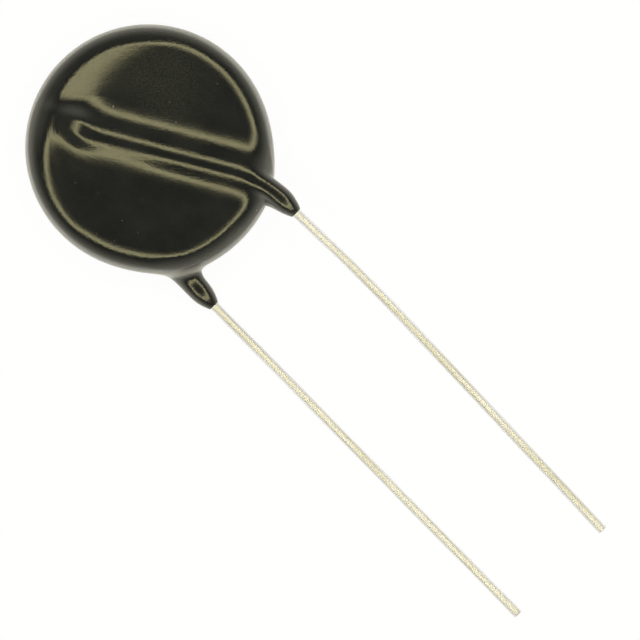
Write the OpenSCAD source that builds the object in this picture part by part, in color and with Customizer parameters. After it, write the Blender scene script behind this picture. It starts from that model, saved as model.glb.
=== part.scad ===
// Metal oxide varistor, radial leads, 20 mm disc class, lying on its back.
// A silvered zinc oxide disc has one wire soldered flat across each face. The two wires cross in
// an X, turn down over the rim and leave as a pair of legs. A dipped epoxy coat covers all of it,
// swells into a ridge over each wire, pools between the legs and runs a little way down them.
// The front face looks along +Z and the leads run along -Y. The rear half is the front half
// turned 180 degrees about Y, with its own leg and its own lead.
// The origin is the middle of the underside of the whole part's box.

/* [Ceramic disc] */
// Diameter of the ceramic disc
disc_d = 19.2; // [16:0.1:24]
// Thickness of the ceramic disc
disc_t = 2; // [1.2:0.1:4]
// Chamfer on the edges of the ceramic disc
disc_chamfer = 0.15; // [0.05:0.05:0.3]

/* [Electrodes] */
// Bare ceramic left round each silver electrode
electrode_margin = 0.6; // [0.3:0.1:1.5]
// Thickness of the fired silver
electrode_t = 0.03; // [0.02:0.01:0.1]

/* [Leads] */
// Diameter of the tinned copper wire
wire_d = 0.8; // [0.6:0.05:1]
// Angle that each wire makes across its face, from the way the leads leave
lie_angle = 31.4; // [24:0.1:36]
// From the edge of the silver in to the cut end of the wire
wire_end_inset = 2.2; // [1.5:0.1:3.5]
// From the edge of the ceramic in to the corner where the wire turns down
knee_inset = 1.1; // [0.5:0.1:2]
// Radius of that turn, at the middle of the wire
knee_bend_r = 10; // [6:0.5:11]
// Sideways place of the front wire's knee, from the middle
front_knee_x = 4.9; // [4.4:0.05:5.4]
// Outward lean of the front lead below its knee
front_lean = 2.4; // [0:0.1:4]
// Inward lean of the front lead below its long bend
front_toe_in = 0.7; // [0:0.1:2]
// From the middle of the disc down to the long bend of the front lead
front_bend_reach = 21; // [19:0.5:24]
// Radius of that long bend
front_bend_r = 150; // [80:5:180]
// From the middle of the disc down to the tip of the front lead
front_reach = 49.2; // [35:0.1:60]
// Sideways place of the rear wire's knee, from the middle
rear_knee_x = 5.21; // [4.8:0.01:5.7]
// Outward lean of the rear lead inside its leg
rear_lean = 0.3; // [0:0.1:1]
// Inward lean of the rear lead below its leg
rear_toe_in = 0.6; // [0.5:0.1:2]
// Radius of the slight bend between the two, inside the end of the leg
rear_bend_r = 50; // [40:1:60]
// From the middle of the disc down to the tip of the rear lead
rear_reach = 49.5; // [35:0.1:60]

/* [Solder] */
// Solder left between the wire and the silver
solder_film = 0.04; // [0.02:0.01:0.1]
// Width of the solder fillet on the silver, each side of the wire
solder_foot = 0.6; // [0.3:0.05:0.8]
// Height that the fillet climbs on the wire, as a share of the wire
solder_climb = 0.6; // [0.5:0.05:0.8]

/* [Coat] */
// Coat on each face of the ceramic
coat_face = 0.6; // [0.45:0.05:1]
// Coat on the edge of the ceramic
coat_edge = 0.65; // [0.5:0.05:1]
// How far in from its edge the coat starts to round over
rim_depth = 2.15; // [1.6:0.05:2.4]
// Further rounding on the side away from the leads
rim_extra = 0.65; // [0:0.05:0.8]
// How far the coat that pooled between the legs stands out
pool_depth = 0.7; // [0:0.05:1]
// Half the angle over which the pool stands out
pool_half_angle = 40; // [30:1:50]
// Coat over the wire on the face
ridge_cover = 0.6; // [0.4:0.05:0.9]
// Half the width of the ridge at its foot
ridge_foot = 2.9; // [2.4:0.1:3.2]
// How far the ridge runs on past the cut end of the wire
ridge_run_on = 1.6; // [1:0.1:1.8]

/* [Legs of the coat] */
// Coat round the wire in each leg
leg_cover = 0.45; // [0.3:0.05:0.5]
// How far the front leg runs past the edge of the ceramic
front_leg_run = 2.9; // [2.6:0.1:5]
// How far the rear leg runs past the edge of the ceramic
rear_leg_run = 3.7; // [2.6:0.1:5]
// Length over which a leg rounds in to its tip
leg_nose = 1.2; // [0.8:0.1:1.5]
// Lean of the web that joins the front leg's inner side to the pool
web_lean = 18; // [10:1:25]
// Dip of that web from the leg towards the middle of the rim
web_dip = 12; // [5:1:18]
// Radius of that web where it leaves the pool
web_r = 1; // [0.9:0.05:1.2]
// Coat left round the wire at the very tip
tip_lip = 0.08; // [0.05:0.01:0.2]

/* [Hidden] */
$fn = 64;

ceramic_r = disc_d / 2;
wire_r = wire_d / 2;
electrode_r = ceramic_r - electrode_margin;
silver_z = disc_t / 2 + electrode_t;
wire_z = silver_z + solder_film + wire_r;
coat_r = ceramic_r + coat_edge;
face_z = disc_t / 2 + coat_face;
crest_z = wire_z + wire_r + ridge_cover;
leg_r = wire_r + leg_cover;
tip_r = wire_r + tip_lip;

// A bend is drawn this much fatter in radius than the straight runs that end a little inside it.
BEND_SWELL = 0.005;
BEND_OVERLAP = 0.2;
// The slight bend in the rear lead ends this far below the tip of its leg.
BEND_PAST_LEG = 0.05;
// Lines drawn across the coat, and steps of each line beside the ridge and over half of it
LINES = 40;
SIDE_STEPS = 8;
RIDGE_STEPS = 6;
// A line's ridge steps keep within this share of its half length, so that both sides have room.
RIDGE_SHARE = 0.85;
// Power of the angle with which the pool fades out to its sides
POOL_POWER = 5.6;
// Fall of the bell curve that the ridge follows, from its crest to its foot
BELL_FALL = 3.6;
// How much less the coat rounds down at its edge where a ridge crosses it
RIDGE_HOLD = 0.6;
// A solder fillet's upper edge is let this far into the wire, and it stops this far short of the turn.
FILLET_SINK = 0.06;
FILLET_STOP = 0.1;
// The ridge's crest stays at least this share of the ridge's width away from either foot on a line.
CREST_SHARE = 0.3;
// Steps of the curve of a leg's nose and of the hollow of a solder fillet
NOSE_STEPS = 6;
FILLET_STEPS = 6;

// Plan direction at an angle from the way the leads leave, positive outward
function heading(a) = [sin(a), -cos(a)];
// Plan direction at right angles to that one, on the outer side
function outward(a) = [cos(a), sin(a)];
function mix(a, b, t) = a + (b - a) * t;
function clamp(t, low, high) = max(low, min(high, t));
function bell(t) = (exp(-BELL_FALL * min(t * t, 1)) - exp(-BELL_FALL)) / (1 - exp(-BELL_FALL));

// A bend of radius r at a corner turns the wire from heading a to heading b.
function bend_cut(a, b, r) = r * tan((a - b) / 2);
function bend_in(corner, a, b, r) = corner - heading(a) * bend_cut(a, b, r);
function bend_out(corner, a, b, r) = corner + heading(b) * bend_cut(a, b, r);
function bend_middle(corner, a, b, r) = bend_in(corner, a, b, r) - outward(a) * r;
// The turn at a knee, from the way the wire lies on its face to the way it leaves
function turn_in(knee, exit) = bend_in(knee, lie_angle, exit, knee_bend_r);
function turn_out(knee, exit) = bend_out(knee, lie_angle, exit, knee_bend_r);
function turn_middle(knee, exit) = bend_middle(knee, lie_angle, exit, knee_bend_r);

// Where the wire, drawn back from its knee across the face, ends inside the silver
function wire_end(knee) =
    let (d = heading(lie_angle), along = knee * d, off = norm(knee - along * d),
        r = electrode_r - wire_end_inset)
    knee - (along + sqrt(r * r - off * off)) * d;

front_knee = [front_knee_x, knee_inset - ceramic_r];
front_bend = front_knee + heading(front_lean) * (front_bend_reach + front_knee[1]) / cos(front_lean);
front_tip = front_bend + heading(-front_toe_in) * (front_reach - front_bend_reach) / cos(front_toe_in);
rear_knee = [rear_knee_x, knee_inset - ceramic_r];
rear_bend_cut = bend_cut(rear_lean, -rear_toe_in, rear_bend_r);
rear_bend_reach = ceramic_r + rear_leg_run + BEND_PAST_LEG - rear_bend_cut;
rear_bend = rear_knee + heading(rear_lean) * (rear_bend_reach + rear_knee[1]) / cos(rear_lean);
rear_tip = rear_bend + heading(-rear_toe_in) * (rear_reach - rear_bend_reach) / cos(rear_toe_in);

// The edge of the coat, and how far in from it the face starts to round over, each way from the middle
function off_pool(a) = abs(a + 90 - 360 * round((a + 90) / 360));
function edge_r(a) = coat_r + pool_depth / (1 + pow(off_pool(a) / pool_half_angle, POOL_POWER));
function rounding(a) = rim_depth + rim_extra * pow(max(0, sin(a)), 2);

// Sideways place of a wire at a height of the plan: its straight run, its turn, its lead
function wire_x(y, knee, exit) =
    let (from = turn_in(knee, exit), to = turn_out(knee, exit), middle = turn_middle(knee, exit))
    y > from[1] ? from[0] - (y - from[1]) * tan(lie_angle)
        : y > to[1] ? middle[0] + sqrt(pow(knee_bend_r, 2) - pow(y - middle[1], 2))
        : to[0] - (y - to[1]) * tan(exit);

// How far sideways of a wire a point of the plan lies
function off_wire(p, knee, exit) =
    let (q = p - turn_in(knee, exit))
    q * heading(lie_angle) < 0 ? q * outward(lie_angle)
        : norm(p - turn_middle(knee, exit)) - knee_bend_r;

// Height of the coat over a point of the plan: the face, raised by the ridge, rounds down to the edge.
function coat_z(p, knee, exit) =
    let (past_end = (wire_end(knee) - p) * heading(lie_angle),
        ridge = bell(off_wire(p, knee, exit) / ridge_foot) * bell(max(past_end, 0) / ridge_run_on),
        a = atan2(p[1], p[0]), t = 1 + (norm(p) - edge_r(a)) / rounding(a))
    mix(face_z, crest_z, ridge) * pow(1 - pow(clamp(t, 0, 1), 2), (1 - RIDGE_HOLD * ridge) / 2);

// The box's lowest corner along the leads, and the shift that puts the origin under its middle
low_y = min(front_tip[1] - wire_r * sin(front_toe_in), rear_tip[1] - wire_r * sin(rear_toe_in));
seat = [0, -(low_y + edge_r(90)) / 2, crest_z];

// A straight run of wire along a heading, its ends let into the bends beside it
module rod(from, to, a, let_in = [BEND_OVERLAP, BEND_OVERLAP]) {
    start = from - heading(a) * let_in[0];
    translate([start[0], start[1], wire_z])
        rotate([90, 0, a])
            cylinder(r = wire_r, h = norm(to - from) + let_in[0] + let_in[1]);
}

module bend(corner, a, b, bend_r, r = wire_r) {
    middle = bend_middle(corner, a, b, bend_r);
    translate([middle[0], middle[1], wire_z])
        rotate([0, 0, b])
            rotate_extrude(angle = a - b)
                translate([bend_r, 0])
                    circle(r = r + BEND_SWELL);
}

// A wire across its face, round its knee, through a second bend and on to its tip
module wire(knee, lean, second, second_r, toe_in, tip) {
    rod(wire_end(knee), turn_in(knee, lean), lie_angle, [0, BEND_OVERLAP]);
    bend(knee, lie_angle, lean, knee_bend_r);
    rod(turn_out(knee, lean), bend_in(second, lean, -toe_in, second_r), lean);
    bend(second, lean, -toe_in, second_r);
    rod(bend_out(second, lean, -toe_in, second_r), tip, -toe_in, [BEND_OVERLAP, 0]);
}

module front_wire() {
    wire(front_knee, front_lean, front_bend, front_bend_r, front_toe_in, front_tip);
}

module rear_wire() {
    wire(rear_knee, rear_lean, rear_bend, rear_bend_r, rear_toe_in, rear_tip);
}

module ceramic() {
    rotate_extrude()
        polygon([[0, -disc_t / 2], [ceramic_r - disc_chamfer, -disc_t / 2],
            [ceramic_r, -disc_t / 2 + disc_chamfer], [ceramic_r, disc_t / 2 - disc_chamfer],
            [ceramic_r - disc_chamfer, disc_t / 2], [0, disc_t / 2]]);
}

module silver() {
    translate([0, 0, disc_t / 2])
        cylinder(r = electrode_r, h = electrode_t);
}

// Half of a solder fillet's section, from the middle of the wire out to the foot on the silver
module fillet_outline() {
    climb = solder_film + wire_d * solder_climb;
    top_x = wire_r - FILLET_SINK;
    polygon(concat(
        [[0, silver_z], [wire_r + solder_foot, silver_z]],
        [for (k = [1:FILLET_STEPS - 1])
            let (a = 90 * k / FILLET_STEPS)
            [mix(wire_r + solder_foot, top_x, sin(a)), silver_z + climb * (1 - cos(a))]],
        [[top_x, silver_z + climb], [0, silver_z + climb]]));
}

// Solder along a wire from its cut end to just short of its turn, carried round the cut end
module fillets(knee, exit) {
    start = wire_end(knee);
    translate([start[0], start[1], 0])
        rotate([0, 0, lie_angle]) {
            rotate([90, 0, 0])
                linear_extrude(norm(turn_in(knee, exit) - start) - FILLET_STOP) {
                    fillet_outline();
                    mirror([1, 0])
                        fillet_outline();
                }
            rotate_extrude(angle = 180)
                fillet_outline();
        }
}

// Sideways places along one line across the coat, close together at its ends and over the ridge
function line_places(half, ridge_x) =
    let (low = clamp(ridge_x - ridge_foot / cos(lie_angle), -RIDGE_SHARE * half, 0),
        high = clamp(ridge_x + ridge_foot / cos(lie_angle), 0, RIDGE_SHARE * half),
        middle = clamp(ridge_x, mix(low, high, CREST_SHARE), mix(high, low, CREST_SHARE)))
    concat(
        [for (k = [0:SIDE_STEPS - 1]) mix(-half, low, 1 - cos(90 * k / SIDE_STEPS))],
        [for (k = [0:RIDGE_STEPS - 1]) mix(low, middle, k / RIDGE_STEPS)],
        [for (k = [0:RIDGE_STEPS - 1]) mix(middle, high, k / RIDGE_STEPS)],
        [for (k = [SIDE_STEPS:-1:1]) mix(half, high, 1 - cos(90 * k / SIDE_STEPS))]);

// One line across the face of the coat, from its edge on one side up to that on the other
function face_line(edge, knee, exit) =
    [for (x = line_places(edge[0], wire_x(edge[1], knee, exit)))
        [x, edge[1], coat_z([x, edge[1]], knee, exit)]];

// The coat's disc with its pool and both ridges: a skin through loops from the far edge to the near
module coat_body() {
    loops = [for (k = [1:LINES - 1])
        let (a = 90 - 180 * k / LINES, edge = edge_r(a) * [cos(a), sin(a)])
        concat(face_line(edge, front_knee, front_lean),
            [for (p = face_line(edge, rear_knee, rear_lean)) [-p[0], p[1], -p[2]]])];
    steps = len(loops[0]);
    last = (len(loops) - 1) * steps;
    far = len(loops) * steps;
    polyhedron(concat([for (one = loops) each one], [[0, edge_r(90), 0], [0, -edge_r(-90), 0]]), [
        for (here = [0:steps - 1])
            let (next = (here + 1) % steps)
            each concat(
                [[far, next, here], [far + 1, last + here, last + next]],
                [for (k = [0:steps:last - steps]) [k + here, k + steps + next, k + steps + here]],
                [for (k = [0:steps:last - steps]) [k + here, k + next, k + steps + next]])]);
}

// The coat round one wire, from its turn over the rim down to a rounded nose
module leg(knee, exit, leg_run) {
    bend(knee, lie_angle, exit, knee_bend_r, leg_r);
    from = turn_out(knee, exit) - heading(exit) * BEND_OVERLAP;
    length = (ceramic_r + leg_run + from[1]) / cos(exit);
    translate([from[0], from[1], wire_z])
        rotate([90, 0, exit])
            rotate_extrude()
                polygon(concat([[0, 0], [leg_r, 0]],
                    [for (k = [0:NOSE_STEPS])
                        let (a = 90 * k / NOSE_STEPS)
                        [mix(tip_r, leg_r, cos(a)), length - min(leg_nose, length) * (1 - sin(a))]],
                    [[0, length]]));
}

// The web on the inner side of the front leg, from just above its tip up into the pool
module web() {
    leg_tip_y = -ceramic_r - front_leg_run;
    foot = [wire_x(leg_tip_y, front_knee, front_lean), leg_tip_y + tip_r];
    top = front_leg_run + knee_inset - tip_r;
    translate([foot[0], foot[1], wire_z])
        rotate([-90 - web_dip, 0, web_lean])
            cylinder(r1 = tip_r, r2 = web_r, h = top / cos(web_lean));
}

module coating() {
    color("#24282a")
        translate(seat)
            difference() {
                union() {
                    coat_body();
                    leg(front_knee, front_lean, front_leg_run);
                    web();
                    rotate([0, 180, 0])
                        leg(rear_knee, rear_lean, rear_leg_run);
                }
                ceramic();
                for (side = [0, 180])
                    rotate([0, side, 0])
                        silver();
                fillets(front_knee, front_lean);
                front_wire();
                rotate([0, 180, 0]) {
                    fillets(rear_knee, rear_lean);
                    rear_wire();
                }
            }
}

module ceramic_disc() {
    color("#4b4a45")
        translate(seat)
            ceramic();
}

module front_electrode() {
    color("#d9d8d2")
        translate(seat)
            silver();
}

module rear_electrode() {
    color("#d9d8d2")
        translate(seat)
            rotate([0, 180, 0])
                silver();
}

module front_solder() {
    color("#b4b6b8")
        translate(seat)
            difference() {
                fillets(front_knee, front_lean);
                front_wire();
            }
}

module rear_solder() {
    color("#b4b6b8")
        translate(seat)
            rotate([0, 180, 0])
                difference() {
                    fillets(rear_knee, rear_lean);
                    rear_wire();
                }
}

module front_lead() {
    color("#e6e0c4")
        translate(seat)
            front_wire();
}

module rear_lead() {
    color("#e6e0c4")
        translate(seat)
            rotate([0, 180, 0])
                rear_wire();
}

coating();
ceramic_disc();
front_electrode();
rear_electrode();
front_solder();
rear_solder();
front_lead();
rear_lead();
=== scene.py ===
"""A metal oxide varistor lying on its back: its dipped coat, its two leads and the pieces shut inside."""
import math

import bpy
import numpy as np
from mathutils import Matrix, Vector


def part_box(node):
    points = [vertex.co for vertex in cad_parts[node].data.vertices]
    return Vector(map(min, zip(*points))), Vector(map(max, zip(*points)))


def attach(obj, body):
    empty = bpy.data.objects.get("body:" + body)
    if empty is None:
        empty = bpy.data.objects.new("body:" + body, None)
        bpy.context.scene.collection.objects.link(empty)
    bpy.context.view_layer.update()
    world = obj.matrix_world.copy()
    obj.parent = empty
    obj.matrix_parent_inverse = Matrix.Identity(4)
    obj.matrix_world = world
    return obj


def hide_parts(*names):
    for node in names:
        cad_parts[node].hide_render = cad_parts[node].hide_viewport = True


MM = 0.001

# Sizes of the part in mm, with z up from the middle of the ceramic and the leads along -y
CERAMIC_R = 9.6
SILVER_R = 9.0
COAT_R = 10.25
WIRE_R = 0.4
WIRE_Z = 1.47
# How a wire lies across its face, its knee inside the ceramic's edge, and its end inside the silver's
LIE = math.radians(31.4)
KNEE_INSET = 1.1
KNEE_R = 10.0
WIRE_END_INSET = 2.2
# The mesh of a wire, and the bevel of its cut end
WIRE_STEP = 0.4
WIRE_SIDES = 40
BEVEL = 0.05

# The coat on a face: its own height and its crest's
FACE_Z = 1.57
CREST_Z = 2.47
# How much higher it stands on the inner side of the ridge, and how far that reaches
LIFT = 0.335
LIFT_FOOT = 10.0
# The ridge: how far its feet lie from the wire, and where before the wire's end and over what run it sinks
FOOT_IN = 2.4
FOOT_OUT = 3.42
END_BACK = 1.4
RUN_ON = 3.2
# From this far before the wire's end its crest strays outward by this much, over a short run
STRAY = 0.55
STRAY_BACK = 2.5
STRAY_RUN = 3.0
# Its outer foot draws in there by this much
TUCK = 1.2
# Its crest also broadens there, by this much on either side
CROWN = 0.3
CROWN_BACK = 3.5
CROWN_RUN = 3.0
# A stretch of the inner side that stands higher still, so that the ridge's flank lies flatter there
PATCH_LIFT = 0.18
PATCH_AT = 4.6
PATCH_HALF = 5.8
# Fall of the bell curve that ridge, lift and stretch follow, from its middle to its foot
BELL_FALL = 3.6

# The front face shades as if it fell away early to the far edge, round an angle and so far to either side
DOME_AT = 94.0
DOME_HALF = 60.0
DOME_POWER = 8.0
# It does so between these distances from the middle, and starts further out for each degree off that angle
DOME_START = 5.65
DOME_DRIFT = 0.048
DOME_SOFT = 0.75
DOME_SLOPE = 0.27
DOME_END = 9.1
DOME_FADE = 0.12
# Above the pool it shades with a crease so far in from the coat's edge, and steeper for a run past that
CREASE_AT = -106.0
CREASE_HALF = 22.0
CREASE_POWER = 8.0
CREASE_IN = 1.43
CREASE_SOFT = 0.06
CREASE_SLOPE = 0.16
CREASE_RUN = 1.1
CREASE_FADE = 0.12
# Beside the ridge's far end its edge shades flatter, between these distances from the middle
LEVEL_AT = 160.0
LEVEL_HALF = 28.0
LEVEL_POWER = 8.0
LEVEL_FROM = 8.3
LEVEL_TO = 9.6
LEVEL_SOFT = 0.15
LEVEL_SLOPE = 0.1

# The rim: how far in it starts to round, and how much less than that on the far side, round an angle
RIM_DEPTH = 2.15
RIM_THIN = 0.45
RIM_THIN_AT = 72.0
RIM_THIN_POWER = 4
# How much longer the ridge holds its height over the rim than the face does
RIDGE_HOLD = 0.6
# Low on the rim the shading is so many times steeper: in full up to the first height, less up to the second
RIM_STEEP = 3.0
RIM_LOW = 0.65
RIM_HIGH = 1.02
# That ends within this distance beyond the coat's edge, so that the legs keep their own shading
RIM_FADE = 0.4
# The pool that stands out between the legs, round its angle
POOL_DEPTH = 0.7
POOL_AT = -90.0
POOL_HALF = 40.0
POOL_POWER = 5.6

# The legs of the coat: how stout they and their tips are, and over what lengths they narrow and grow
LEG_R = 0.95
TIP_R = 0.46
LEG_NOSE = 1.8
LEG_GROWS = 4.0
# How far below the ceramic's edge each leg ends
FRONT_LEG_RUN = 2.9
REAR_LEG_RUN = 3.7
# The web beside the front leg, from the leg's tip up into the pool, and its radius there
WEB_LEAN = math.radians(18.0)
WEB_DIP = math.radians(12.0)
WEB_R = 1.0
# How wide the disc melts into the front leg and its web, into the rear leg, and into the level of its crest
FRONT_MELT = 0.6
REAR_MELT = 2.2
CREST_MELT = 0.03

# A stretch of the front face painted lighter, as painted light for the light that the face catches there: its
# middle and its radius
PAINTED_LIGHT_AT = (4.8, 2.8, 1.5)
PAINTED_LIGHT_R = 5.2

# The plain disc that the coat's mesh starts from: its rings, its sides, its poles and how square it is
BLANK_RINGS = 60
BLANK_SIDES = 96
BLANK_POLE = 0.02
BLANK_REACH = 0.35
BLANK_HEIGHT = 0.5
# The bars that its legs start from
LEG_STEP = 0.5
LEG_SIDES = 24
# The even mesh of the coat, and the rounds that draw it on to its form, the last few without evening it out
VOXEL = 0.16
FIT_ROUNDS = 8
FIT_LAST = 4
FIT_MOST = 0.3
# The step that a slope is measured over, the largest distance that counts, and what keeps a divisor off 0
PROBE = 0.004
FAR = 3.0
LEAST_SLOPE = 1e-6
LEAST_LENGTH = 1e-9

# The camera looks straight down, with the photograph's turn, and with its scale at this level above the floor
PHOTO_PIXELS = 640
PIXELS_PER_MM = 12.03
VIEW_MIDDLE = (0.30, -0.67)
VIEW_TURN = math.radians(-44.0)
VIEW_LEVEL = 3.9
LENS = 400.0
SENSOR = 36.0
CLIP_SPAN = 10

# The studio: shares of the ring light and levels of the sky, by degrees from straight up
RING = ((39, 0.0), (35.5, 1.0), (28, 1.0), (24.5, 0.4), (19, 0.06), (11, 0.0))
RING_LIGHT = (3.0, 2.85, 2.0, 1)
SKY = ((90, 1.0), (78, 0.7), (62, 0.33), (52, 0.12), (42, 0.05), (0, 0.12))
# The sheet under the part: half its width in metres, its grey, and how strongly and by what share it glows
SHEET_HALF = 3.0
SHEET_GREY = (0.8, 0.8, 0.8, 1)
SHEET_GLOW = 1.03
SHEET_SHARE = 0.93

# Pairs of shades that a surface drifts between, as linear red, green and blue
EPOXY = ((0.0022, 0.0036, 0.0046), (0.0092, 0.0114, 0.0120))
# Painted light: the lighter shades of the painted patch on the front face, which stand for light that the
# face catches
PAINTED_LIGHT = ((0.010, 0.012, 0.010), (0.026, 0.028, 0.025))
TIN = ((0.90, 0.88, 0.80), (1.0, 0.99, 0.97))
COPPER = ((0.86, 0.66, 0.52), (0.93, 0.80, 0.68))
ZINC_OXIDE = ((0.055, 0.053, 0.047), (0.095, 0.09, 0.08))
SILVER = ((0.62, 0.61, 0.58), (0.78, 0.77, 0.74))
SOLDER = ((0.42, 0.43, 0.44), (0.60, 0.61, 0.62))
# Single shades, as a socket takes them
DUST = (0.22, 0.22, 0.20, 1)
WHITE = (1, 1, 1, 1)
# How many times finer a plain surface's grain is than the drift of its shades
GRAIN_FINER = 8

# Sockets of the nodes that mix values, colours or shaders, and of those that work out a value
SHARE = 0
VALUE_A, VALUE_B, VALUE_OUT = 2, 3, 0
COLOUR_A, COLOUR_B, COLOUR_OUT = 6, 7, 2
SHADER_A, SHADER_B = 1, 2
FIRST, SECOND = 0, 1

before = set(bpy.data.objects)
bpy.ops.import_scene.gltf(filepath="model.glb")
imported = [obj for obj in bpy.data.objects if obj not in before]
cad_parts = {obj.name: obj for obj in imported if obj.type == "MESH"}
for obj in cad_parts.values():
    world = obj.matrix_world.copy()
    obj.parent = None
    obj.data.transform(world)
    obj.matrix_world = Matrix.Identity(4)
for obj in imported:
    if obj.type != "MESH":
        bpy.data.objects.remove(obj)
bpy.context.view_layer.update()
low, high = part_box("ceramic_disc")
CENTRE = (Vector(low) + Vector(high)) / 2


def heading(a):
    """Plan direction at an angle from the way the leads leave, positive outward"""
    return np.array([math.sin(a), -math.cos(a)])


def outward(a):
    """Plan direction at right angles to that one, on the outer side"""
    return np.array([math.cos(a), math.sin(a)])


def bell(t):
    """1 at the middle, 0 from t = 1 on"""
    low = math.exp(-BELL_FALL)
    return (np.exp(-BELL_FALL * np.minimum(t * t, 1)) - low) / (1 - low)


def melt(a, b, width):
    """The nearer of two distances, with a hollow where they are alike"""
    h = np.maximum(width - np.abs(a - b), 0) / width
    return np.minimum(a, b) - h ** 3 * width / 6


class Wire:
    """One wire in the plan of its own face: across it, round its knee and down to its tip"""

    def __init__(self, knee_x, lean, leg_run, leg_power, second_y, second_r, toe_in, reach):
        self.leg_power = leg_power
        self.lean = math.radians(lean)
        self.toe = -math.radians(toe_in)
        self.second_r = second_r
        self.knee = np.array([knee_x, KNEE_INSET - CERAMIC_R])
        self.second = self.down_to(self.knee, self.lean, -second_y)
        self.tip = self.down_to(self.second, self.toe, -reach)
        self.turn_in, self.turn_out, self.middle = self.turn(self.knee, LIE, self.lean, KNEE_R)
        along = self.knee @ heading(LIE)
        off = np.linalg.norm(self.knee - along * heading(LIE))
        back = along + math.sqrt((SILVER_R - WIRE_END_INSET) ** 2 - off ** 2)
        self.end = self.knee - back * heading(LIE)
        self.leg_tip = self.down_to(self.turn_out, self.lean, -CERAMIC_R - leg_run)

    @staticmethod
    def down_to(start, a, y):
        """The point at the height y of the plan, along a heading from a start"""
        return start + heading(a) * (start[1] - y) / math.cos(a)

    @staticmethod
    def turn(corner, a, b, r):
        """Where a bend at a corner starts, ends and has its middle"""
        cut = r * math.tan((a - b) / 2)
        start = corner - heading(a) * cut
        return start, corner + heading(b) * cut, start - outward(a) * r

    def aside(self, x, y):
        """How far sideways of the wire a point lies, positive outward"""
        on_face = (x - self.turn_in[0], y - self.turn_in[1])
        on_leg = (x - self.turn_out[0], y - self.turn_out[1])
        across = dot(on_face, outward(LIE))
        turn = np.hypot(x - self.middle[0], y - self.middle[1]) - KNEE_R
        lower = np.where(dot(on_leg, heading(self.lean)) > 0, dot(on_leg, outward(self.lean)), turn)
        return np.where(dot(on_face, heading(LIE)) < 0, across, lower)

    def past_end(self, x, y):
        """How far past the cut end of the wire a point lies"""
        return dot((self.end[0] - x, self.end[1] - y), heading(LIE))

    def past_turn(self, x, y):
        """How far past the start of the turn a point lies"""
        return dot((x - self.turn_in[0], y - self.turn_in[1]), heading(LIE))

    def past_leg(self, x, y):
        """How far past the tip of the leg a point lies"""
        return dot((x - self.leg_tip[0], y - self.leg_tip[1]), heading(self.lean))

    def route(self, step):
        """Points along the whole wire, from its cut end on the face to its tip"""
        first, second, middle = self.turn(self.second, self.lean, self.toe, self.second_r)
        points = straight(self.end, self.turn_in, step)
        points += arc(self.middle, KNEE_R, LIE, self.lean, step)
        points += straight(self.turn_out, first, step)
        points += arc(middle, self.second_r, self.lean, self.toe, step)
        points += straight(second, self.tip, step)
        return points + [self.tip]


def dot(p, q):
    """The product of two plan directions"""
    return p[0] * q[0] + p[1] * q[1]


def straight(a, b, step):
    """Points about a step apart from a towards b, without b"""
    count = max(1, round(np.linalg.norm(b - a) / step))
    return [a + (b - a) * k / count for k in range(count)]


def arc(middle, r, a, b, step):
    """Points about a step apart round a bend between two headings, without the last"""
    count = max(2, round(r * (a - b) / step))
    return [middle + outward(a + (b - a) * k / count) * r for k in range(count)]


# Lean and toe-in are in degrees, and the second bend and the tip lie so far below the ceramic's middle
FRONT = Wire(knee_x=4.9, lean=2.4, leg_run=FRONT_LEG_RUN, leg_power=2.3,
             second_y=21.0, second_r=150.0, toe_in=0.7, reach=49.2)
REAR = Wire(knee_x=5.21, lean=0.3, leg_run=REAR_LEG_RUN, leg_power=2.4,
            second_y=12.957, second_r=50.0, toe_in=0.6, reach=49.5)


def off_angle(a, middle):
    """How many degrees an angle lies from a middle one, the shorter way round"""
    return np.abs(a - middle - 360 * np.round((a - middle) / 360))


def near(off, half, power):
    """1 at the middle, a half at half the width and next to 0 beyond, falling by a power"""
    return 1 / (1 + (off / half) ** power)


def rising(t, soft):
    """Next to 0 well before t = 0, a half there and next to 1 well past it"""
    return 1 / (1 + np.exp(-t / soft))


def edge_r(a):
    """The coat's edge at an angle in degrees, which stands out where the pool is"""
    return COAT_R + POOL_DEPTH * near(off_angle(a, POOL_AT), POOL_HALF, POOL_POWER)


def ease(t):
    """0 up to t = 0, 1 from t = 1 on, and a smooth rise between"""
    t = np.clip(t, 0, 1)
    return t * t * (3 - 2 * t)


def dome(r, a):
    """How much steeper than it is the face shades towards its far edge"""
    off = off_angle(a, DOME_AT)
    within = r - DOME_START - DOME_DRIFT * off
    slope = DOME_SLOPE * rising(within, DOME_SOFT) * rising(DOME_END - r, DOME_FADE)
    return slope * near(off, DOME_HALF, DOME_POWER)


def crease(r, a):
    """How much steeper it shades past its crease above the pool"""
    within = r - edge_r(a) + CREASE_IN
    slope = CREASE_SLOPE * rising(within, CREASE_SOFT) * rising(CREASE_RUN - within, CREASE_FADE)
    return slope * near(off_angle(a, CREASE_AT), CREASE_HALF, CREASE_POWER)


def level(r, a):
    """How much flatter its edge shades beside the ridge's far end"""
    slope = LEVEL_SLOPE * rising(r - LEVEL_FROM, LEVEL_SOFT) * rising(LEVEL_TO - r, LEVEL_SOFT)
    return slope * near(off_angle(a, LEVEL_AT), LEVEL_HALF, LEVEL_POWER)


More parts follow.
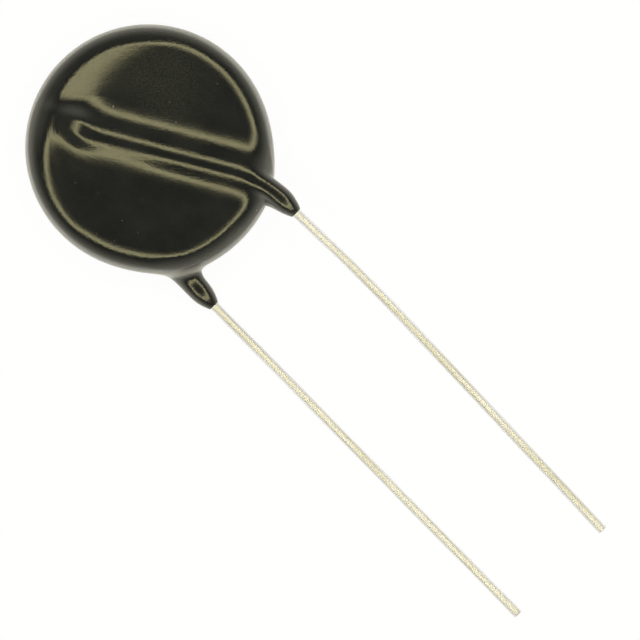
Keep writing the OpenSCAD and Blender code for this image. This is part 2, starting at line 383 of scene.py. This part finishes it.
def face(wire, x, y):
    """Height of a face's coat before it rounds over at the edge, and the share of ridge in it"""
    past = wire.past_end(x, y)
    near_end = ease((past + STRAY_BACK) / STRAY_RUN)
    aside = wire.aside(x, y) - STRAY * near_end
    crown = CROWN * ease((past + CROWN_BACK) / CROWN_RUN)
    off = np.maximum(np.abs(aside) - crown, 0)
    inner = aside < 0
    foot_in = FOOT_IN - crown
    foot_out = FOOT_OUT - crown - TUCK * near_end
    lift = LIFT + PATCH_LIFT * bell((past + PATCH_AT) / PATCH_HALF)
    side = np.where(inner, bell(off / LIFT_FOOT), bell(off / foot_out))
    ridge = np.where(inner, bell(off / foot_in), bell(off / foot_out))
    ridge = ridge * (1 - ease((past + END_BACK) / RUN_ON))
    return FACE_Z + lift * side + (CREST_Z - FACE_Z - lift) * ridge, ridge


def body(x, y, z):
    """Below 0 inside the disc of the coat and above 0 outside it"""
    a = np.degrees(np.arctan2(y, x))
    front, front_ridge = face(FRONT, x, y)
    rear, rear_ridge = face(REAR, -x, y)
    top = np.where(z >= 0, front, rear)
    ridge = np.where(z >= 0, front_ridge, rear_ridge)
    thin = np.maximum(0, np.cos(np.radians(a - RIM_THIN_AT))) ** RIM_THIN_POWER
    depth = RIM_DEPTH - RIM_THIN * thin
    t = np.maximum(0, 1 + (np.hypot(x, y) - edge_r(a)) / depth)
    return (np.abs(z) / top) ** (2 / (1 - RIDGE_HOLD * ridge)) + t * t - 1


def body_distance(x, y, z):
    """Distance to the disc of the coat, near enough"""
    f = body(x, y, z)
    slope = np.sqrt((body(x + PROBE, y, z) - f) ** 2 + (body(x, y + PROBE, z) - f) ** 2
                    + (body(x, y, z + PROBE) - f) ** 2) / PROBE
    return np.clip(f / (slope + LEAST_SLOPE), -FAR, FAR)


def leg(wire, x, y, z):
    """Distance to the coat round one wire, from its turn over the rim down to its nose"""
    past = wire.past_leg(x, y)
    begun = wire.past_turn(x, y)
    climb = np.clip(1 + past / LEG_NOSE, 0, 1)
    grown = np.clip(begun / LEG_GROWS, 0, 1)
    r = TIP_R + (LEG_R - TIP_R) * (1 - climb ** 2)
    r = r * np.sqrt(grown * (2 - grown)) + np.minimum(begun, 0)
    power = wire.leg_power
    round_wire = np.abs(wire.aside(x, y)) ** power + np.abs(z - WIRE_Z) ** power
    return np.maximum(round_wire ** (1 / power) - r, past)


def web(x, y, z):
    """Distance to the web from the front leg's inner side up into the pool"""
    foot = FRONT.leg_tip - heading(FRONT.lean) * TIP_R
    way = (-math.cos(WEB_DIP) * math.sin(WEB_LEAN),
           math.cos(WEB_DIP) * math.cos(WEB_LEAN),
           -math.sin(WEB_DIP))
    run = (FRONT_LEG_RUN + KNEE_INSET - TIP_R) / math.cos(WEB_LEAN)
    q = (x - foot[0], y - foot[1], z - WIRE_Z)
    along = np.clip(q[0] * way[0] + q[1] * way[1] + q[2] * way[2], 0, run)
    off = [q[k] - along * way[k] for k in range(3)]
    return np.sqrt(off[0] ** 2 + off[1] ** 2 + off[2] ** 2) - TIP_R - (WEB_R - TIP_R) * along / run


def coat(x, y, z):
    """Distance to the whole coat"""
    d = body_distance(x, y, z)
    d = melt(d, leg(FRONT, x, y, z), FRONT_MELT)
    d = melt(d, web(x, y, z), FRONT_MELT)
    d = melt(d, leg(REAR, -x, y, -z), REAR_MELT)
    return -melt(-d, CREST_Z - np.abs(z), CREST_MELT)


def coat_slope(p):
    """Distances and outward directions at rows of points"""
    x, y, z = p.T
    d = coat(x, y, z)
    slope = np.stack([coat(x + PROBE, y, z) - coat(x - PROBE, y, z),
                      coat(x, y + PROBE, z) - coat(x, y - PROBE, z),
                      coat(x, y, z + PROBE) - coat(x, y, z - PROBE)], 1)
    return d, slope / (np.linalg.norm(slope, axis=1, keepdims=True) + LEAST_LENGTH)


def shaded(points, out):
    """Outward directions at points as they shade: steeper low on the rim, and tilted on the front face"""
    x, y, z = points.T
    r = np.hypot(x, y)
    a = np.degrees(np.arctan2(y, x))
    up = ease((np.abs(z) - RIM_LOW) / (RIM_HIGH - RIM_LOW))
    beyond = ease((r - edge_r(a)) / RIM_FADE)
    steep = 1 + (RIM_STEEP - 1) * (1 - np.maximum(up, beyond))
    out = out * np.stack([steep, steep, np.ones_like(z)], 1)
    out = out / np.linalg.norm(out, axis=1, keepdims=True)
    lean = (dome(r, a) + crease(r, a) - level(r, a)) * np.maximum(out[:, 2], 0) / np.maximum(r, PROBE)
    out = out + np.stack([lean * x, lean * y, np.zeros_like(z)], 1)
    return out / np.linalg.norm(out, axis=1, keepdims=True)


def loft(rings):
    """Vertices and faces of a skin through rings of points, closed at both ends"""
    sides = len(rings[0])
    verts = [tuple(p) for ring in rings for p in ring]
    faces = [tuple(reversed(range(sides)))]
    for k in range(len(rings) - 1):
        low, high = k * sides, (k + 1) * sides
        faces += [(low + i, low + (i + 1) % sides, high + (i + 1) % sides, high + i) for i in range(sides)]
    faces.append(tuple((len(rings) - 1) * sides + i for i in range(sides)))
    return verts, faces


def tube(points, radii, z, sides):
    """Rings of a round bar along points of the plan at one height"""
    rings = []
    for k, p in enumerate(points):
        way = points[min(k + 1, len(points) - 1)] - points[max(k - 1, 0)]
        way = way / np.linalg.norm(way)
        across = np.array([-way[1], way[0]])
        radius = radii[k]
        rings.append([(p[0] + across[0] * radius * math.cos(a), p[1] + across[1] * radius * math.cos(a),
                       z + radius * math.sin(a)) for a in np.linspace(0, 2 * math.pi, sides, endpoint=False)])
    return rings


def turned_over(rings):
    """The same rings on the rear side: half a turn about y"""
    return [[(-x, y, -z) for x, y, z in ring] for ring in rings]


def blank_disc():
    """Rings of a plain disc as wide as the coat, from its top to its underside"""
    angles = np.linspace(0, 2 * math.pi, BLANK_SIDES, endpoint=False)
    rings = []
    for lean in np.linspace(BLANK_POLE, math.pi - BLANK_POLE, BLANK_RINGS):
        reach = math.sin(lean) ** BLANK_REACH
        height = FACE_Z * math.copysign(abs(math.cos(lean)) ** BLANK_HEIGHT, math.cos(lean))
        rings.append([(edge_r(math.degrees(a)) * reach * math.cos(a),
                       edge_r(math.degrees(a)) * reach * math.sin(a), height) for a in angles])
    return rings


def join(parts):
    """The vertices and faces of several pieces in one list each"""
    verts, faces = [], []
    for more, skins in parts:
        faces += [tuple(i + len(verts) for i in skin) for skin in skins]
        verts += more
    return verts, faces


def even_skin(verts, faces):
    """Vertices and faces of one even skin round overlapping closed pieces, sizes in mm"""
    mesh = bpy.data.meshes.new("blank")
    mesh.from_pydata(verts, [], faces)
    blank = bpy.data.objects.new("blank", mesh)
    bpy.context.scene.collection.objects.link(blank)
    remesh = blank.modifiers.new("even", "REMESH")
    remesh.mode = "VOXEL"
    remesh.voxel_size = VOXEL
    done = blank.evaluated_get(bpy.context.evaluated_depsgraph_get()).to_mesh()
    points = np.array([v.co[:] for v in done.vertices])
    skins = [tuple(p.vertices) for p in done.polygons]
    bpy.data.objects.remove(blank)
    bpy.data.meshes.remove(mesh)
    return points, skins


def relaxed(points, edges):
    """Each point moved halfway to the middle of its neighbours"""
    total = np.zeros_like(points)
    count = np.zeros(len(points))
    for a, b in ((0, 1), (1, 0)):
        np.add.at(total, edges[:, a], points[edges[:, b]])
        np.add.at(count, edges[:, a], 1)
    return (points + total / count[:, None]) / 2


def coat_skin():
    """The coat's skin in mm: an even mesh, drawn on to the coat's form"""
    legs = []
    for wire, rear in ((FRONT, False), (REAR, True)):
        points = straight(wire.turn_in, wire.turn_out, LEG_STEP)
        points += straight(wire.turn_out, wire.leg_tip, LEG_STEP)
        points.append(wire.leg_tip)
        rings = tube(points, [LEG_R] * len(points), WIRE_Z, LEG_SIDES)
        legs.append(turned_over(rings) if rear else rings)
    points, faces = even_skin(*join([loft(blank_disc()), loft(legs[0]), loft(legs[1])]))
    edges = np.array(sorted({tuple(sorted((f[k - 1], f[k]))) for f in faces for k in range(len(f))}))
    for k in range(FIT_ROUNDS):
        d, out = coat_slope(points)
        points = points - out * np.clip(d, -FIT_MOST, FIT_MOST)[:, None]
        if k < FIT_ROUNDS - FIT_LAST:
            points = relaxed(points, edges)
    return points, faces, shaded(points, coat_slope(points)[1])


def in_metres(points):
    """Points in mm from the middle of the ceramic, as points of the frame in metres"""
    return [tuple(CENTRE + Vector(p) * MM) for p in points]


def piece(name, points, faces, material, node):
    """A mesh of the scene that stands for a node of the frame"""
    mesh = bpy.data.meshes.new(name)
    mesh.from_pydata(in_metres(points), [], faces)
    mesh.materials.append(material)
    mesh.polygons.foreach_set("use_smooth", [True] * len(faces))
    mesh.update()
    made = bpy.data.objects.new(name, mesh)
    bpy.context.scene.collection.objects.link(made)
    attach(made, "root")
    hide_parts(node)
    return made


class Nodes:
    """A material or world whose nodes are made in one line each"""

    def __init__(self, owner):
        owner.use_nodes = True
        self.tree = owner.node_tree
        self.tree.nodes.clear()

    def add(self, kind, values=None):
        """A new node, with values for its settings and its sockets"""
        node = self.tree.nodes.new(kind)
        for key, value in (values or {}).items():
            if isinstance(key, str) and hasattr(node, key):
                setattr(node, key, value)
            else:
                node.inputs[key].default_value = value
        return node

    def link(self, a, output, b, socket):
        self.tree.links.new(a.outputs[output], b.inputs[socket])


def in_mm(nodes, scale=1.0, stretch=(1, 1, 1)):
    """Texture coordinates in mm, times a scale, stretched along an axis"""
    place = nodes.add("ShaderNodeTexCoord")
    mapping = nodes.add("ShaderNodeMapping", {"Scale": [scale * s / MM for s in stretch]})
    nodes.link(place, "Object", mapping, "Vector")
    return mapping


def noise(nodes, place, scale, detail):
    """Noise with about this many grains to the mm"""
    made = nodes.add("ShaderNodeTexNoise", {"Scale": scale, "Detail": detail, "Roughness": 0.5})
    nodes.link(place, "Vector", made, "Vector")
    return made


def ramp(nodes, source, output, stops):
    """A colour ramp with stops of (place, colour), or (place, level) for greys"""
    made = nodes.add("ShaderNodeValToRGB")
    elements = made.color_ramp.elements
    while len(elements) < len(stops):
        elements.new(0.5)
    for element, (place, colour) in zip(elements, stops):
        element.position = place
        element.color = (*colour, 1) if hasattr(colour, "__len__") else (colour, colour, colour, 1)
    nodes.link(source, output, made, "Fac")
    return made


def bump(nodes, source, output, distance, below=None):
    """Relief of this height, on top of another where one is given"""
    made = nodes.add("ShaderNodeBump", {"Strength": 1.0, "Distance": distance})
    nodes.link(source, output, made, "Height")
    if below:
        nodes.link(below, "Normal", made, "Normal")
    return made


def surface(name, values):
    """A new material with its nodes, its shader and its output"""
    material = bpy.data.materials.new(name)
    nodes = Nodes(material)
    shader = nodes.add("ShaderNodeBsdfPrincipled", values)
    out = nodes.add("ShaderNodeOutputMaterial")
    nodes.link(shader, "BSDF", out, "Surface")
    return material, nodes, shader


def epoxy_material():
    """Black dipped epoxy: glossy, with a fine grain, faint swells, dull patches, a painted lighter patch that
    stands for light caught on the face, and a little dust
    """
    material, nodes, shader = surface("black_epoxy", {"IOR": 1.8, "Specular Tint": (0.97, 0.95, 0.75, 1),
                                                      "Sheen Weight": 1.0, "Sheen Roughness": 0.4})
    place = in_mm(nodes)
    cloud = noise(nodes, place, scale=0.35, detail=4.0)
    grain = noise(nodes, place, scale=7.0, detail=1.0)
    mottle = nodes.add("ShaderNodeMix", {"data_type": "FLOAT", SHARE: 0.5})
    nodes.link(cloud, "Fac", mottle, VALUE_A)
    nodes.link(grain, "Fac", mottle, VALUE_B)
    tint = ramp(nodes, mottle, VALUE_OUT, [(0.42, EPOXY[0]), (0.6, EPOXY[1])])
    # Painted light: a lighter, mottled patch on the front face, standing for light that the face catches
    # there
    painted_light_tint = ramp(nodes, grain, "Fac", [(0.35, PAINTED_LIGHT[0]), (0.65, PAINTED_LIGHT[1])])
    middle = (CENTRE / MM + Vector(PAINTED_LIGHT_AT)) / PAINTED_LIGHT_R
    away = nodes.add("ShaderNodeVectorMath", {"operation": "DISTANCE", SECOND: middle})
    nodes.link(in_mm(nodes, scale=1 / PAINTED_LIGHT_R), "Vector", away, FIRST)
    painted_light_mask = ramp(nodes, away, "Value", [(0.35, 1.0), (1.0, 0.0)])
    with_painted_light = nodes.add("ShaderNodeMix", {"data_type": "RGBA"})
    nodes.link(painted_light_mask, "Color", with_painted_light, SHARE)
    nodes.link(tint, "Color", with_painted_light, COLOUR_A)
    nodes.link(painted_light_tint, "Color", with_painted_light, COLOUR_B)
    dust = ramp(nodes, noise(nodes, place, scale=2.6, detail=3.0), "Fac", [(0.75, 0.0), (0.77, 1.0)])
    dusty = nodes.add("ShaderNodeMix", {"data_type": "RGBA", COLOUR_B: DUST})
    nodes.link(dust, "Color", dusty, SHARE)
    nodes.link(with_painted_light, COLOUR_OUT, dusty, COLOUR_A)
    nodes.link(dusty, COLOUR_OUT, shader, "Base Color")
    dull = ramp(nodes, cloud, "Fac", [(0.35, 0.11), (0.8, 0.19)])
    nodes.link(dull, "Color", shader, "Roughness")
    swell = noise(nodes, place, scale=0.5, detail=2.0)
    swells = bump(nodes, swell, "Fac", distance=0.02 * MM)
    fine = bump(nodes, grain, "Fac", distance=0.010 * MM, below=swells)
    nodes.link(fine, "Normal", shader, "Normal")
    return material


def wire_material():
    """Tinned copper wire: warm white metal with streaks from the die along its length"""
    material, nodes, shader = surface("tinned_wire", {"Metallic": 1.0})
    place = in_mm(nodes, stretch=(1, 0.03, 1))
    streak = noise(nodes, place, scale=4.5, detail=0.5)
    tint = ramp(nodes, streak, "Fac", [(0.38, TIN[0]), (0.56, TIN[1])])
    dull = ramp(nodes, streak, "Fac", [(0.3, 0.58), (0.7, 0.53)])
    nodes.link(tint, "Color", shader, "Base Color")
    nodes.link(dull, "Color", shader, "Roughness")
    fine = bump(nodes, streak, "Fac", distance=0.0005 * MM)
    nodes.link(fine, "Normal", shader, "Normal")
    return material


def plain_material(name, shades, values, scale):
    """A fired or cast surface whose colour drifts between two shades, with a fine grain"""
    material, nodes, shader = surface(name, values)
    place = in_mm(nodes)
    cloud = noise(nodes, place, scale, detail=4.0)
    tint = ramp(nodes, cloud, "Fac", [(0.3, shades[0]), (0.7, shades[1])])
    grain = noise(nodes, place, scale * GRAIN_FINER, detail=3.0)
    fine = bump(nodes, grain, "Fac", distance=0.004 * MM)
    nodes.link(tint, "Color", shader, "Base Color")
    nodes.link(fine, "Normal", shader, "Normal")
    return material


def dress(name, material):
    """A CAD node that keeps its shape gets this material"""
    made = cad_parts[name]
    made.data.materials.clear()
    made.data.materials.append(material)


def make_coat():
    """The coat, which shades by its own directions"""
    points, faces, out = coat_skin()
    made = piece("epoxy_coat", points, faces, epoxy_material(), "coating")
    made.data.normals_split_custom_set_from_vertices([tuple(n) for n in out])


def make_leads():
    """Both wires, whose cut ends are flat with a small bevel and show a little copper"""
    metal = wire_material()
    copper = plain_material("cut_copper", COPPER, {"Roughness": 0.5, "Metallic": 1.0}, scale=3.0)
    for name, node, wire, rear in (("front_wire", "front_lead", FRONT, False),
                                   ("rear_wire", "rear_lead", REAR, True)):
        path = wire.route(WIRE_STEP)
        path.insert(-1, wire.tip - heading(wire.toe) * BEVEL)
        rings = tube(path, [WIRE_R] * (len(path) - 1) + [WIRE_R - BEVEL], WIRE_Z, WIRE_SIDES)
        points, faces = loft(turned_over(rings) if rear else rings)
        made = piece(name, points, faces, metal, node)
        made.data.materials.append(copper)
        skins = made.data.polygons
        for skin in skins[len(faces) - WIRE_SIDES - 1:]:
            skin.material_index = len(made.data.materials) - 1
        skins[0].use_smooth = False
        skins[len(faces) - 1].use_smooth = False


def dress_inside():
    """Materials for the pieces inside the coat, which keep their CAD shapes"""
    ceramic = plain_material("zinc_oxide", ZINC_OXIDE, {"Roughness": 0.75}, scale=0.8)
    silver = plain_material("fired_silver", SILVER, {"Roughness": 0.45, "Metallic": 1.0}, scale=1.5)
    solder = plain_material("solder", SOLDER, {"Roughness": 0.32, "Metallic": 1.0}, scale=1.2)
    dress("ceramic_disc", ceramic)
    for side in ("front", "rear"):
        dress(f"{side}_electrode", silver)
        dress(f"{side}_solder", solder)


def seen_directly(nodes):
    """1 for what the camera sees, itself or in gloss or glass"""
    path = nodes.add("ShaderNodeLightPath")
    either = nodes.add("ShaderNodeMath", {"operation": "MAXIMUM"})
    any_of = nodes.add("ShaderNodeMath", {"operation": "MAXIMUM"})
    nodes.link(path, "Is Camera Ray", either, FIRST)
    nodes.link(path, "Is Glossy Ray", either, SECOND)
    nodes.link(either, "Value", any_of, FIRST)
    nodes.link(path, "Is Transmission Ray", any_of, SECOND)
    return any_of


def make_floor():
    """A white sheet under the part, which keeps a faint shadow"""
    half = SHEET_HALF
    mesh = bpy.data.meshes.new("floor")
    corners = [(-half, -half, 0), (half, -half, 0), (half, half, 0), (-half, half, 0)]
    mesh.from_pydata(corners, [], [(0, 1, 2, 3)])
    floor = bpy.data.objects.new("floor", mesh)
    bpy.context.scene.collection.objects.link(floor)
    material = bpy.data.materials.new("white_sheet")
    nodes = Nodes(material)
    matt = nodes.add("ShaderNodeBsdfDiffuse", {"Color": SHEET_GREY})
    white = nodes.add("ShaderNodeEmission", {"Color": WHITE, "Strength": SHEET_GLOW})
    share = nodes.add("ShaderNodeMath", {"operation": "MULTIPLY", SECOND: SHEET_SHARE})
    nodes.link(seen_directly(nodes), "Value", share, FIRST)
    mix = nodes.add("ShaderNodeMixShader")
    nodes.link(share, "Value", mix, SHARE)
    nodes.link(matt, "BSDF", mix, SHADER_A)
    nodes.link(white, "Emission", mix, SHADER_B)
    out = nodes.add("ShaderNodeOutputMaterial")
    nodes.link(mix, "Shader", out, "Surface")
    mesh.materials.append(material)


def make_world():
    """A dim studio with a warm ring of light overhead, and white where the camera sees past the floor"""
    world = bpy.data.worlds.new("studio")
    bpy.context.scene.world = world
    nodes = Nodes(world)
    place = nodes.add("ShaderNodeTexCoord")
    split = nodes.add("ShaderNodeSeparateXYZ")
    nodes.link(place, "Generated", split, "Vector")
    ring = ramp(nodes, split, "Z", [(math.cos(math.radians(a)), share) for a, share in RING])
    sky = ramp(nodes, split, "Z", [(math.cos(math.radians(a)), bright) for a, bright in SKY])
    light = nodes.add("ShaderNodeMix", {"data_type": "RGBA", COLOUR_B: RING_LIGHT})
    nodes.link(ring, "Color", light, SHARE)
    nodes.link(sky, "Color", light, COLOUR_A)
    studio = nodes.add("ShaderNodeBackground", {"Strength": 1.0})
    nodes.link(light, COLOUR_OUT, studio, "Color")
    white = nodes.add("ShaderNodeBackground", {"Color": WHITE, "Strength": 1.0})
    path = nodes.add("ShaderNodeLightPath")
    mix = nodes.add("ShaderNodeMixShader")
    nodes.link(path, "Is Camera Ray", mix, SHARE)
    nodes.link(studio, "Background", mix, SHADER_A)
    nodes.link(white, "Background", mix, SHADER_B)
    out = nodes.add("ShaderNodeOutputWorld")
    nodes.link(mix, "Shader", out, "Surface")


def make_camera():
    """Straight down on the part, turned so that the leads leave towards the lower right"""
    data = bpy.data.cameras.new("camera")
    data.lens = LENS
    data.sensor_width = SENSOR
    distance = PHOTO_PIXELS / PIXELS_PER_MM * MM * LENS / SENSOR
    data.clip_start = distance / CLIP_SPAN
    data.clip_end = distance * CLIP_SPAN
    camera = bpy.data.objects.new("camera", data)
    bpy.context.scene.collection.objects.link(camera)
    camera.location = (VIEW_MIDDLE[0] * MM, VIEW_MIDDLE[1] * MM, VIEW_LEVEL * MM + distance)
    camera.rotation_euler = (0, 0, VIEW_TURN)
    bpy.context.scene.camera = camera


make_camera()
make_world()
make_floor()
make_coat()
make_leads()
dress_inside()
bpy.context.scene.view_settings.view_transform = "Standard"
